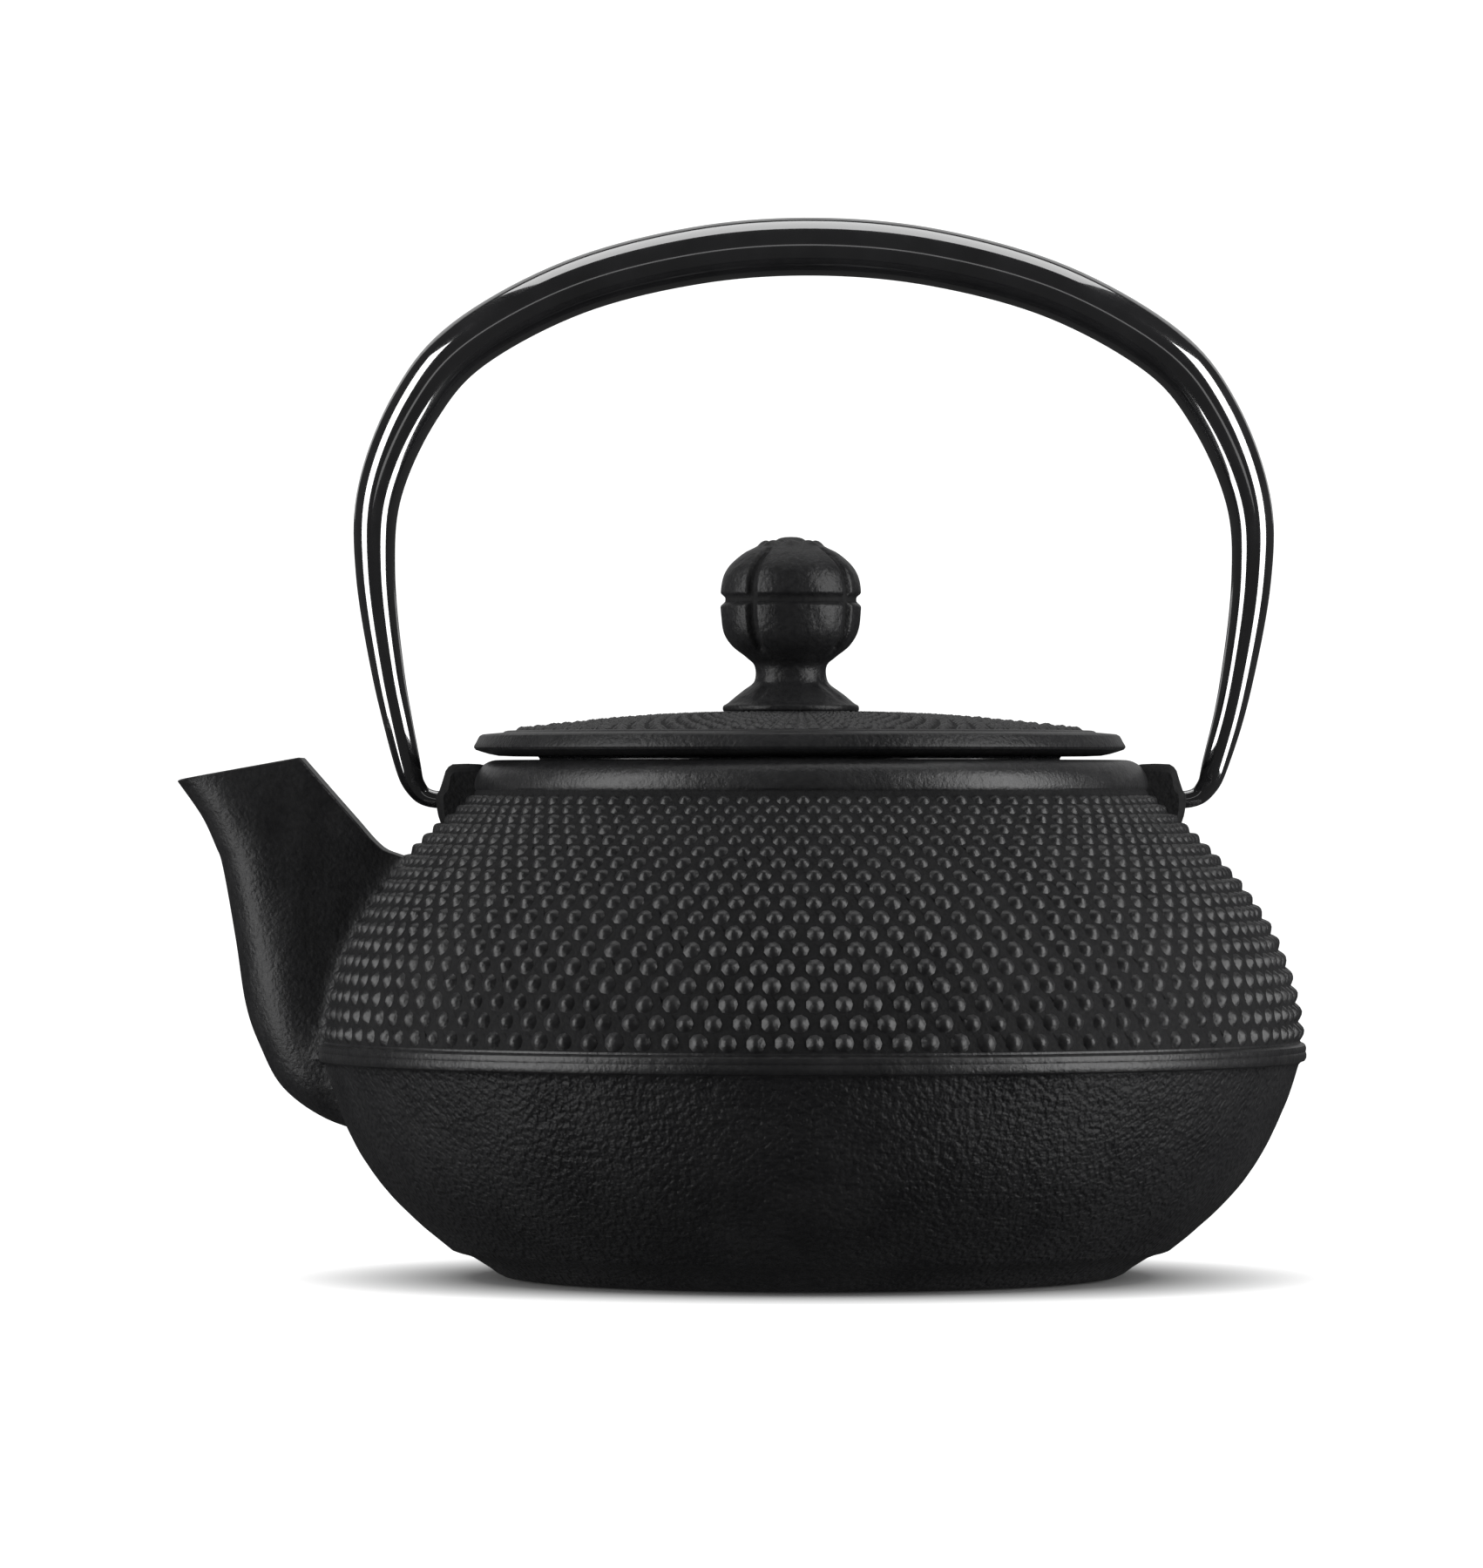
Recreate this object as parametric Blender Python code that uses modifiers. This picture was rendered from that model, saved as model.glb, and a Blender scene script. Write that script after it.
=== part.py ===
"""Cast iron teapot: hobnail pot with a fixed spout, swing bail, loose lid and tea strainer.

World axes: +Z up, spout towards -X. The origin is the middle of the flat base.
The dimensions below are in millimetres and are turned into metres as each shape is made.
"""

import math

import bmesh
import bpy
from mathutils import Vector

MM = 0.001
GAP = 0.3  # between neighbours that touch on the real teapot

# Pot casting
WALL = 3.4
FLOOR_Z = 3.6
BASE_R = 46.0
BELT_R, BELT_TOP_Z, BELT_BOTTOM_Z = 76.2, 35.4, 32.1
SPLIT_Z = 33.8  # the upper and lower nodes of the casting meet here, inside the belt
RIM_Z = 79.6
COLLAR_R, COLLAR_ROLL_R = 48.2, 3.8  # the half-round roll around the mouth
MOUTH_R = 42.5
LEDGE_R, LEDGE_Z, LEDGE_BOTTOM_Z = 38.6, 77.0, 74.0
UPPER_WALL = [(51.8, 74.8), (60.3, 66.6), (74.4, 56.1), (75.6, BELT_TOP_Z)]
LOWER_WALL = [(75.1, BELT_BOTTOM_Z), (70.4, 18.3), (66.4, 12.9), (55.0, 4.2)]
UPPER_LINING = [(49.6, 72.2), (57.8, 64.2), (70.9, 54.6), (72.2, BELT_TOP_Z)]
LOWER_LINING = [(71.9, BELT_BOTTOM_Z), (67.3, 19.9), (63.9, 15.1), (53.0, 6.9)]

# Spout sections from the root up: front edge (x, z), back edge (x, z), half width
SPOUT_SECTIONS = [
    ((-66.0, 21.6), (-57.0, 20.0), 4.5),
    ((-74.6, 24.3), (-57.0, 24.0), 7.0),
    ((-81.3, 29.1), (-57.0, 29.5), 9.2),
    ((-84.9, 35.6), (-57.0, 36.0), 10.0),
    ((-87.1, 42.0), (-57.0, 43.0), 10.0),
    ((-88.6, 51.7), (-58.0, 53.0), 9.5),
    ((-90.6, 63.0), (-63.2, 63.0), 8.9),
    ((-93.9, 71.0), (-70.4, 71.0), 8.4),
    ((-97.8, 76.5), (-78.4, 80.0), 8.0),
]
SPOUT_WALL = 2.8
SPOUT_BORE_FIRST = 2  # the bore opens into the pot from this section up
SPOUT_BORE_BACK_X = -60.0
SPOUT_BORE_PAST_LIP = 4.0

# Ears and bail
EAR_INNER_X, EAR_OUTER_X = 44.0, 57.7
EAR_HALF_Y = 6.0
EAR_TOP_Z, EAR_BOTTOM_Z = 79.0, 65.5
EAR_ROUNDING = 2.2
HINGE_Z = 73.6
HOOK_R, HOOK_DEPTH = 1.35, 5.4
SOCKET_R, SOCKET_DEPTH = 1.75, 6.0
BAIL_LEAN_DEG = 0.6  # the arch stands a little off square to its hooks
BAIL_LEAN_START = 14.0  # height above the hinge where the lean is full
# Right half of the bail's middle line from the hook up: x, z, thickness, width
BAIL_STATIONS = [
    (EAR_OUTER_X - HOOK_DEPTH, HINGE_Z, 2.7, 2.7),
    (EAR_OUTER_X + 0.6, HINGE_Z, 2.7, 2.7),
    (60.9, 75.4, 3.2, 3.3),
    (62.4, 79.6, 4.1, 5.2),
    (65.3, 92.0, 5.0, 7.6),
    (67.5, 108.0, 6.1, 9.2),
    (66.9, 120.5, 6.9, 10.0),
    (61.6, 133.5, 7.8, 10.6),
    (53.5, 143.2, 8.2, 11.0),
    (37.4, 152.1, 8.5, 11.0),
    (18.5, 157.2, 8.8, 11.0),
    (0.0, 158.75, 8.9, 11.0),
]

# Lid and knob, which sit a little off the pot's axis
LID_X = -1.75
LID_R = 50.2
SKIRT_R, SKIRT_INNER_R, SKIRT_BOTTOM_Z = 40.1, 36.9, 78.5
LID_TOP = [(0.0, 87.0), (12.0, 87.0), (23.5, 86.3), (31.4, 85.5), (38.4, 84.7), (44.9, 83.9)]
LID_RIM = [(49.5, 83.2), (LID_R, 82.7), (LID_R, 81.5), (49.4, 80.8), (SKIRT_R + 0.4, 80.9)]
LID_UNDERSIDE = [(SKIRT_INNER_R, 81.4), (30.0, 82.6), (20.0, 83.6), (10.0, 84.0), (0.0, 84.0)]
VENT_Y, VENT_R = 30.0, 1.6
KNOB_X = -3.1
KNOB_OUTLINE = [
    (0.0, 114.0), (2.2, 113.8), (3.8, 113.2), (5.4, 112.5), (7.3, 111.3), (9.1, 109.7),
    (10.1, 108.1), (10.6, 106.1), (10.2, 104.3), (10.7, 102.4), (10.3, 100.0), (9.7, 98.4),
    (8.5, 96.8), (6.6, 95.2), (5.5, 93.7), (5.6, 92.0), (7.2, 90.4), (9.1, 88.8),
    (10.5, 87.6), (10.5, 87.0 + GAP),
]
STUD_R, STUD_HOLE_R = 1.7, 2.0
STUD_TOP_Z, STUD_HOLE_TOP_Z = 98.7, 99.0
WASHER_R, WASHER_TOP_Z, WASHER_BOTTOM_Z = 5.2, 84.0 - GAP, 82.9
RIVET_HEAD_R, RIVET_HEAD_TOP_Z, RIVET_HEAD_H = 3.6, WASHER_BOTTOM_Z - GAP, 1.6

# Strainer, hanging in the mouth by its flange
FLANGE_R, FLANGE_TOP_Z, FLANGE_BOTTOM_Z = 41.8, SKIRT_BOTTOM_Z - GAP, LEDGE_Z + GAP
CUFF_R, CUFF_INNER_R, CUFF_BOTTOM_Z = 37.2, 36.4, 72.8
BASKET_R, BASKET_INNER_R = CUFF_INNER_R - GAP, 35.5
BASKET_TOP_Z, BASKET_BOTTOM_Z = 77.6, 44.2
DISC_TOP_Z, DISC_BOTTOM_Z = BASKET_BOTTOM_Z - GAP, 43.2
FOOT_TOP_Z, FOOT_BOTTOM_Z, FOOT_LIP_R = 46.6, 42.4, 33.8

POT_STEPS = 60
LID_STEPS = 60
SMALL_STEPS = 32


def clear_scene():
    for obj in list(bpy.data.objects):
        bpy.data.objects.remove(obj)


def collection(name):
    made = bpy.data.collections.new(name)
    bpy.context.scene.collection.children.link(made)
    return made


def material(name, colour, roughness, metallic):
    made = bpy.data.materials.new(name)
    made.use_nodes = True
    shader = made.node_tree.nodes["Principled BSDF"]
    shader.inputs["Base Color"].default_value = (*colour, 1.0)
    shader.inputs["Roughness"].default_value = roughness
    shader.inputs["Metallic"].default_value = metallic
    return made


def add_mesh(name, mesh, home, finish=None, body=None):
    """A mesh object in a collection, in its finish, under its body's empty."""
    mesh.update()
    obj = bpy.data.objects.new(name, mesh)
    home.objects.link(obj)
    if finish:
        mesh.materials.append(finish)
    else:
        obj.hide_render = True
        obj.display_type = "WIRE"
    if body:
        obj.parent = body
        obj.location = -body.location
    return obj


def body_empty(name, place, home):
    """An empty on a moving body's joint axis."""
    made = bpy.data.objects.new(name, None)
    made.location = Vector(place) * MM
    home.objects.link(made)
    return made


def bezier(control, count):
    """Points along a cubic from its first control point to its last."""
    (x0, z0), (x1, z1), (x2, z2), (x3, z3) = control
    points = []
    for i in range(count + 1):
        t = i / count
        a, b, c, d = (1 - t) ** 3, 3 * t * (1 - t) ** 2, 3 * t * t * (1 - t), t**3
        points.append((a * x0 + b * x1 + c * x2 + d * x3, a * z0 + b * z1 + c * z2 + d * z3))
    return points


def arc(centre, radius, start, end, count):
    """Points on a circle between two angles in degrees, counted from +X."""
    points = []
    for i in range(count + 1):
        angle = math.radians(start + (end - start) * i / count)
        points.append((centre[0] + radius * math.cos(angle), centre[1] + radius * math.sin(angle)))
    return points


def smooth_row(rows, per_span):
    """Catmull-Rom points through rows of numbers, ends included."""
    padded = [rows[0], *rows, rows[-1]]
    smooth = []
    for a, b, c, d in zip(padded, padded[1:], padded[2:], padded[3:]):
        for i in range(per_span):
            t = i / per_span
            smooth.append(
                tuple(
                    0.5 * (2 * q + (r - p) * t + (2 * p - 5 * q + 4 * r - s) * t * t
                           + (3 * q - p - 3 * r + s) * t**3)
                    for p, q, r, s in zip(a, b, c, d)
                )
            )
    smooth.append(tuple(rows[-1]))
    return smooth


def turned(name, outline, home, finish=None, body=None, steps=LID_STEPS, x=0.0):
    """An outline turned about the vertical line at x. One that stays off the axis is a ring."""
    on_axis = outline[0][0] == 0
    last = len(outline) - 1
    edges = [(i, i + 1) for i in range(last)] + ([] if on_axis else [(last, 0)])
    mesh = bpy.data.meshes.new(name)
    mesh.from_pydata([(r * MM, 0.0, z * MM) for r, z in outline], edges, [])
    obj = add_mesh(name, mesh, home, finish, body)
    obj.location.x += x * MM
    screw = obj.modifiers.new("turn", "SCREW")
    screw.steps = screw.render_steps = steps
    screw.use_merge_vertices = True
    screw.merge_threshold = 0.00001
    return obj


def ring_outline(outer_r, inner_r, top_z, bottom_z):
    return [(outer_r, top_z), (outer_r, bottom_z), (inner_r, bottom_z), (inner_r, top_z)]


def loft(name, rings, home, finish=None, body=None):
    """A closed skin over rings of equal length, capped at both ends."""
    shape = bmesh.new()
    rows = [[shape.verts.new(Vector(point) * MM) for point in ring] for ring in rings]
    count = len(rows[0])
    for low, high in zip(rows, rows[1:]):
        for i in range(count):
            j = (i + 1) % count
            shape.faces.new((low[i], low[j], high[j], high[i]))
    shape.faces.new(rows[0])
    shape.faces.new(rows[-1])
    bmesh.ops.recalc_face_normals(shape, faces=shape.faces)
    mesh = bpy.data.meshes.new(name)
    shape.to_mesh(mesh)
    shape.free()
    return add_mesh(name, mesh, home, finish, body)


def rod(name, radius, start, end, home, steps=24):
    """A straight round cutter between two points, through its primitive's own axis."""
    start, end = Vector(start) * MM, Vector(end) * MM
    run = end - start
    shape = bmesh.new()
    bmesh.ops.create_cone(
        shape, cap_ends=True, segments=steps, radius1=radius * MM, radius2=radius * MM,
        depth=run.length,
    )
    mesh = bpy.data.meshes.new(name)
    shape.to_mesh(mesh)
    shape.free()
    obj = add_mesh(name, mesh, home)
    obj.location = (start + end) / 2
    obj.rotation_euler = run.to_track_quat("Z", "Y").to_euler()
    return obj


def combine(target, tool, operation):
    step = target.modifiers.new(tool.name, "BOOLEAN")
    step.operation = operation
    step.solver = "EXACT"
    step.object = tool


def upper_outline():
    """The outside of the pot's upper half as a solid, from the mouth down to the belt."""
    collar = arc((COLLAR_R, RIM_Z - COLLAR_ROLL_R), COLLAR_ROLL_R, 90, -5, 4)
    belt = [(BELT_R, BELT_TOP_Z - 0.5), (BELT_R, SPLIT_Z), (0.0, SPLIT_Z)]
    return [(0.0, RIM_Z), *collar, *bezier(UPPER_WALL, 9), *belt]


def lower_outline():
    """The outside of the pot's lower half as a solid, from the belt down to the base."""
    belt = [(0.0, SPLIT_Z), (BELT_R, SPLIT_Z), (BELT_R, BELT_BOTTOM_Z + 0.4)]
    foot = [(52.2, 3.4), (49.2, 1.7), (BASE_R, 0.0), (0.0, 0.0)]
    return [*belt, *bezier(LOWER_WALL, 6), *foot]


def cavity_outline():
    """The space inside the pot, from above the mouth down to the floor."""
    neck = [(0.0, RIM_Z + 5), (MOUTH_R, RIM_Z + 5), (MOUTH_R, LEDGE_Z), (LEDGE_R, LEDGE_Z)]
    throat = [(LEDGE_R, LEDGE_BOTTOM_Z), (45.0, LEDGE_BOTTOM_Z - 0.4)]
    bottom = [(47.5, FLOOR_Z), (0.0, FLOOR_Z)]
    return [*neck, *throat, *bezier(UPPER_LINING, 6), *bezier(LOWER_LINING, 5), *bottom]


def spout_ring(front, back, half_width):
    """One section of the spout: a rounded nose, flat sides and a back with soft corners."""
    front, back = Vector((front[0], 0, front[1])), Vector((back[0], 0, back[1]))
    along = (back - front).normalized()
    across = Vector((0, 1, 0))
    nose, corner = half_width, half_width * 0.45
    points = []
    for x, y in arc((nose, 0), nose, 90, 270, 10):
        points.append(front + along * x + across * y)
    length = (back - front).length
    for side, first in ((-1, 270), (1, 360)):
        for x, y in arc((length - corner, side * (half_width - corner)), corner, first, first + 90, 3):
            points.append(front + along * x + across * y)
    return points


def spout_rings():
    rows = [(*front, *back, half) for front, back, half in SPOUT_SECTIONS]
    return [spout_ring(row[0:2], row[2:4], row[4]) for row in smooth_row(rows, 2)]


def bore_rings():
    """The spout's channel, set in from its outside, from inside the pot to past the lip."""
    rows = []
    for front, back, half in SPOUT_SECTIONS[SPOUT_BORE_FIRST:]:
        back_x = min(back[0] - SPOUT_WALL * 1.35, SPOUT_BORE_BACK_X)
        rows.append((front[0] + SPOUT_WALL, front[1], back_x, back[1], half - SPOUT_WALL * 0.8))
    before, last = Vector(rows[-2]), Vector(rows[-1])
    step = (last - before).normalized() * SPOUT_BORE_PAST_LIP
    past = last + step
    past[4] = last[4]
    rows = smooth_row(rows, 2) + [tuple(past)]
    return [spout_ring(row[0:2], row[2:4], row[4]) for row in rows]


def ear(name, side, home):
    """A cast lug at the end of the X axis that holds the bail's hook."""
    shape = bmesh.new()
    bmesh.ops.create_cube(shape, size=1.0)
    size = Vector((EAR_OUTER_X - EAR_INNER_X, 2 * EAR_HALF_Y, EAR_TOP_Z - EAR_BOTTOM_Z)) * MM
    bmesh.ops.scale(shape, vec=size, verts=shape.verts)
    middle = Vector((side * (EAR_OUTER_X + EAR_INNER_X) / 2, 0, (EAR_TOP_Z + EAR_BOTTOM_Z) / 2))
    mesh = bpy.data.meshes.new(name)
    shape.to_mesh(mesh)
    shape.free()
    obj = add_mesh(name, mesh, home)
    obj.location = middle * MM
    bevel = obj.modifiers.new("rounding", "BEVEL")
    bevel.width = EAR_ROUNDING * MM
    bevel.segments = 3
    return obj


def make_pot(home, cutters, finish):
    """One casting as three touching nodes: the halves above and below the belt, and the spout."""
    upper = turned("pot_upper", upper_outline(), home, finish, steps=POT_STEPS)
    lower = turned("pot_lower", lower_outline(), home, finish, steps=POT_STEPS)
    spout = loft("pot_spout", spout_rings(), home, finish)
    for name, outline in (("upper_outside", upper_outline()), ("lower_outside", lower_outline())):
        combine(spout, turned(name, outline, cutters, steps=POT_STEPS), "DIFFERENCE")
    for side, name in ((-1, "left"), (1, "right")):
        combine(upper, ear(f"ear_{name}", side, cutters), "UNION")
    cavity = turned("cavity", cavity_outline(), cutters, steps=POT_STEPS)
    spout_bore = loft("spout_bore", bore_rings(), cutters)
    for piece in (upper, lower):
        combine(piece, cavity, "DIFFERENCE")
        combine(piece, spout_bore, "DIFFERENCE")
    combine(spout, spout_bore, "DIFFERENCE")
    for side, name in ((-1, "left"), (1, "right")):
        mouth = (side * (EAR_OUTER_X + 2), 0, HINGE_Z)
        end = (side * (EAR_OUTER_X - SOCKET_DEPTH), 0, HINGE_Z)
        combine(upper, rod(f"socket_{name}", SOCKET_R, mouth, end, cutters), "DIFFERENCE")


def leaned(x, z):
    """The bail's small lean about its hinge, fading out towards the hooks."""
    share = min(max((z - HINGE_Z) / BAIL_LEAN_START, 0.0), 1.0)
    angle = math.radians(BAIL_LEAN_DEG) * share * share * (3 - 2 * share)
    up = z - HINGE_Z
    return x * math.cos(angle) + up * math.sin(angle), up * math.cos(angle) - x * math.sin(angle)


def bail_rings():
    """Sections from the left hook over the arch to the right hook, heights from the hinge."""
    right = smooth_row(BAIL_STATIONS, 3)
    left = [(-x, z, thickness, width) for x, z, thickness, width in right[:-1]]
    line = left + right[::-1]
    places = [Vector((x, 0, z)) for x, z in (leaned(row[0], row[1]) for row in line)]
    rings = []
    for i, (place, (_, _, thickness, width)) in enumerate(zip(places, line)):
        run = places[min(i + 1, len(places) - 1)] - places[max(i - 1, 0)]
        outward = run.normalized().cross(Vector((0, 1, 0)))
        ring = []
        for a, b in arc((0, 0), 1.0, 0, 330, 11):
            a, b = (math.copysign(abs(v) ** 0.85, v) for v in (a, b))
            ring.append(place + outward * a * thickness / 2 + Vector((0, b * width / 2, 0)))
        rings.append(ring)
    return rings


def make_bail(home, finish):
    pivot = body_empty("bail_pivot", (0, 0, HINGE_Z), home)
    bail = loft("bail_handle", bail_rings(), home, finish)
    bail.parent = pivot
    return bail


def make_lid(home, cutters, iron, steel):
    seat = body_empty("lid_seat", (LID_X, 0, SKIRT_BOTTOM_Z), home)
    skirt = [(SKIRT_R, 80.5), (SKIRT_R, SKIRT_BOTTOM_Z), (SKIRT_INNER_R, SKIRT_BOTTOM_Z)]
    outline = LID_TOP + LID_RIM + skirt + LID_UNDERSIDE
    lid = turned("lid_plate", outline, home, iron, seat, x=LID_X)
    hole = rod("stud_hole", STUD_HOLE_R, (KNOB_X, 0, 80), (KNOB_X, 0, 90), cutters)
    vent = rod("vent_hole", VENT_R, (LID_X, VENT_Y, 78), (LID_X, VENT_Y, 90), cutters)
    combine(lid, hole, "DIFFERENCE")
    combine(lid, vent, "DIFFERENCE")

    knob = [
        *KNOB_OUTLINE, (STUD_HOLE_R, KNOB_OUTLINE[-1][1]), (STUD_HOLE_R, STUD_HOLE_TOP_Z),
        (0.0, STUD_HOLE_TOP_Z),
    ]
    turned("lid_knob", knob, home, iron, seat, SMALL_STEPS, KNOB_X)
    washer = ring_outline(WASHER_R, STUD_HOLE_R, WASHER_TOP_Z, WASHER_BOTTOM_Z)
    turned("stud_washer", washer, home, steel, seat, SMALL_STEPS, KNOB_X)
    head_bottom = RIVET_HEAD_TOP_Z - RIVET_HEAD_H
    stud = [
        (0.0, STUD_TOP_Z), (STUD_R, STUD_TOP_Z), (STUD_R, RIVET_HEAD_TOP_Z),
        (RIVET_HEAD_R, RIVET_HEAD_TOP_Z), (RIVET_HEAD_R * 0.9, RIVET_HEAD_TOP_Z - 0.8),
        (RIVET_HEAD_R * 0.6, head_bottom + 0.2), (0.0, head_bottom),
    ]
    turned("knob_stud", stud, home, steel, seat, SMALL_STEPS // 2, KNOB_X)


def make_strainer(home, steel):
    seat = body_empty("strainer_seat", (0, 0, FLANGE_BOTTOM_Z), home)
    rim = [
        (FLANGE_R, FLANGE_TOP_Z), (FLANGE_R, FLANGE_BOTTOM_Z), (CUFF_R, FLANGE_BOTTOM_Z),
        (CUFF_R, CUFF_BOTTOM_Z), (CUFF_INNER_R, CUFF_BOTTOM_Z), (CUFF_INNER_R, FLANGE_TOP_Z),
    ]
    turned("strainer_rim", rim, home, steel, seat)
    wall = ring_outline(BASKET_R, BASKET_INNER_R, BASKET_TOP_Z, BASKET_BOTTOM_Z)
    turned("strainer_wall", wall, home, steel, seat)
    disc = [(0.0, DISC_TOP_Z), (BASKET_R, DISC_TOP_Z), (BASKET_R, DISC_BOTTOM_Z), (0.0, DISC_BOTTOM_Z)]
    turned("strainer_floor", disc, home, steel, seat)
    foot = [
        (CUFF_R, FOOT_TOP_Z), (CUFF_R, FOOT_BOTTOM_Z), (FOOT_LIP_R, FOOT_BOTTOM_Z),
        (FOOT_LIP_R, DISC_BOTTOM_Z - GAP), (CUFF_INNER_R, DISC_BOTTOM_Z - GAP),
        (CUFF_INNER_R, FOOT_TOP_Z),
    ]
    turned("strainer_foot_ring", foot, home, steel, seat)


def main():
    clear_scene()
    parts, cutters = collection("cast_iron_teapot"), collection("cutters")
    iron = material("cast_iron", (0.028, 0.028, 0.030), 0.62, 0.6)
    lacquer = material("black_lacquer", (0.012, 0.012, 0.013), 0.16, 0.3)
    steel = material("stainless_steel", (0.62, 0.62, 0.60), 0.30, 1.0)
    make_pot(parts, cutters, iron)
    make_bail(parts, lacquer)
    make_lid(parts, cutters, iron, steel)
    make_strainer(parts, steel)


main()
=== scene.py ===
import math

import bpy
import numpy as np
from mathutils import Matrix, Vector


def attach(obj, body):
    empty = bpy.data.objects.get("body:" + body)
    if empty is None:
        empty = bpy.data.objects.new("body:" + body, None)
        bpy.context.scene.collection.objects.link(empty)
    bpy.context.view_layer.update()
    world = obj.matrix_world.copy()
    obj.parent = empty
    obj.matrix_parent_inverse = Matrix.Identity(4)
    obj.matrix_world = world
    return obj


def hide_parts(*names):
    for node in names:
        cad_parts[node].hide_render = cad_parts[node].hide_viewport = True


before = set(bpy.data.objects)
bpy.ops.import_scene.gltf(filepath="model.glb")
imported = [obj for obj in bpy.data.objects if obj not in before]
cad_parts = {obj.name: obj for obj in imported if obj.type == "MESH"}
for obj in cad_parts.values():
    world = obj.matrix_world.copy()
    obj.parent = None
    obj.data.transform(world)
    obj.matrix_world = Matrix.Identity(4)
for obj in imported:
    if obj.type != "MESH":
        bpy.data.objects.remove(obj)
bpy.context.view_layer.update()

# A cast iron teapot with a hobnail body, a folded bail and a tea strainer.
# Shapes are worked out in millimetres in the frame's axes and scaled as each mesh is made.
MM = 0.001
RNG = np.random.default_rng(7)
TURN = 2 * math.pi

# Pot: cubic control points (radius, z) of its outside and its lining, above and below the belt
UPPER_WALL = [(52.1, 74.25), (60.4, 66.3), (74.1, 56.0), (75.25, 36.5)]
LOWER_WALL = [(75.05, 32.8), (70.4, 18.3), (66.4, 12.9), (55.3, 4.3)]
UPPER_LINING = [(49.6, 72.2), (57.8, 64.2), (70.9, 54.6), (72.0, 35.4)]
LOWER_LINING = [(71.8, 32.1), (67.3, 19.9), (63.9, 15.1), (53.0, 6.9)]
DOTS_PER_ROW, DOT_ROWS = 110, 18
POT_COLUMNS = 2 * DOTS_PER_ROW
RIM_Z = 79.6
HINGE_Z = 73.6
EAR_X = 57.7

# Lid: its middle and the knob's middle stand a little left of the pot's axis
LID_X = -1.75
KNOB_X = -3.1
LID_DOTS, LID_ROWS = 72, 25
LID_COLUMNS = 2 * LID_DOTS


# ---------------------------------------------------------------- curves

def bezier(control, count):
    """Points along a cubic from its first control point to its last."""
    t = np.linspace(0, 1, count + 1)[:, None]
    p0, p1, p2, p3 = np.array(control, float)
    return (1 - t) ** 3 * p0 + 3 * t * (1 - t) ** 2 * p1 + 3 * t * t * (1 - t) * p2 + t**3 * p3


def arc(centre, radius, start, end, count):
    """Points on a circle between two angles in degrees, counted from +X."""
    angle = np.radians(np.linspace(start, end, count + 1))
    return np.stack([centre[0] + radius * np.cos(angle), centre[1] + radius * np.sin(angle)], 1)


def smooth_rows(rows, per_span):
    """Catmull-Rom rows of numbers through the given rows, ends included."""
    rows = np.array(rows, float)
    padded = np.vstack([rows[:1], rows, rows[-1:]])
    t = np.arange(per_span)[:, None] / per_span
    spans = []
    for p, q, r, s in zip(padded, padded[1:], padded[2:], padded[3:]):
        spans.append(0.5 * (2 * q + (r - p) * t + (2 * p - 5 * q + 4 * r - s) * t**2
                            + (3 * q - p - 3 * r + s) * t**3))
    return np.vstack([*spans, rows[-1:]])


def even(points, spacing):
    """The same line with points about one spacing apart."""
    points = np.array(points, float)
    length = np.concatenate([[0], np.cumsum(np.linalg.norm(np.diff(points, axis=0), axis=1))])
    count = max(1, round(length[-1] / spacing))
    at = np.linspace(0, length[-1], count + 1)
    return np.stack([np.interp(at, length, points[:, i]) for i in range(points.shape[1])], 1)


def smooth_noise(places, size, seed):
    """Smooth random values from about -1 to 1 at points in millimetres, with features of that size."""
    rng = np.random.default_rng(seed)
    waves = rng.normal(size=(24, 3)) * TURN / (2.2 * size)
    phases = rng.uniform(0, TURN, 24)
    return np.sin(places @ waves.T + phases).sum(1) / math.sqrt(24)


# ---------------------------------------------------------------- meshes

class Skin:
    """Points and faces of one piece, gathered part by part, in millimetres."""

    def __init__(self):
        self.points, self.faces, self.slots = [], [], []

    def add(self, points):
        """Adds points and returns their indices."""
        start = len(self.points)
        self.points.extend(np.asarray(points, float).tolist())
        return np.arange(start, len(self.points))

    def face(self, corners, slot=0):
        self.faces.append([int(c) for c in corners])
        self.slots.append(slot)

    def strip(self, upper, lower, slot=0):
        """Faces between two closed rings of equal length."""
        for i in range(len(upper)):
            j = (i + 1) % len(upper)
            self.face((upper[i], lower[i], lower[j], upper[j]), slot)

    def cap(self, ring, centre, slot=0, flip=False):
        """A fan from a ring to its middle point."""
        middle = self.add([centre])[0]
        for i in range(len(ring)):
            pair = (ring[i], ring[(i + 1) % len(ring)])
            self.face((middle, *(pair[::-1] if flip else pair)), slot)

    def object(self, name, materials, sharp_deg=40):
        mesh = bpy.data.meshes.new(name)
        mesh.from_pydata((np.array(self.points) * MM).tolist(), [], self.faces)
        for material in materials:
            mesh.materials.append(material)
        mesh.polygons.foreach_set("material_index", self.slots)
        finish_mesh(mesh, sharp_deg)
        obj = bpy.data.objects.new(name, mesh)
        bpy.context.scene.collection.objects.link(obj)
        return obj


def finish_mesh(mesh, sharp_deg):
    """Smooth shading, with edges sharper than an angle kept crisp."""
    mesh.validate()
    mesh.update()
    mesh.shade_smooth()
    mesh.set_sharp_from_angle(angle=math.radians(sharp_deg))


def circle(radius, z, columns, x=0.0):
    """A ring of points about the vertical line at x."""
    angle = TURN * np.arange(columns) / columns
    ones = np.ones(columns)
    return np.stack([x + radius * np.cos(angle), radius * np.sin(angle), z * ones], 1)


UNEVEN_SIZE = 4.0  # width of the soft unevenness of a cast surface


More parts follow.
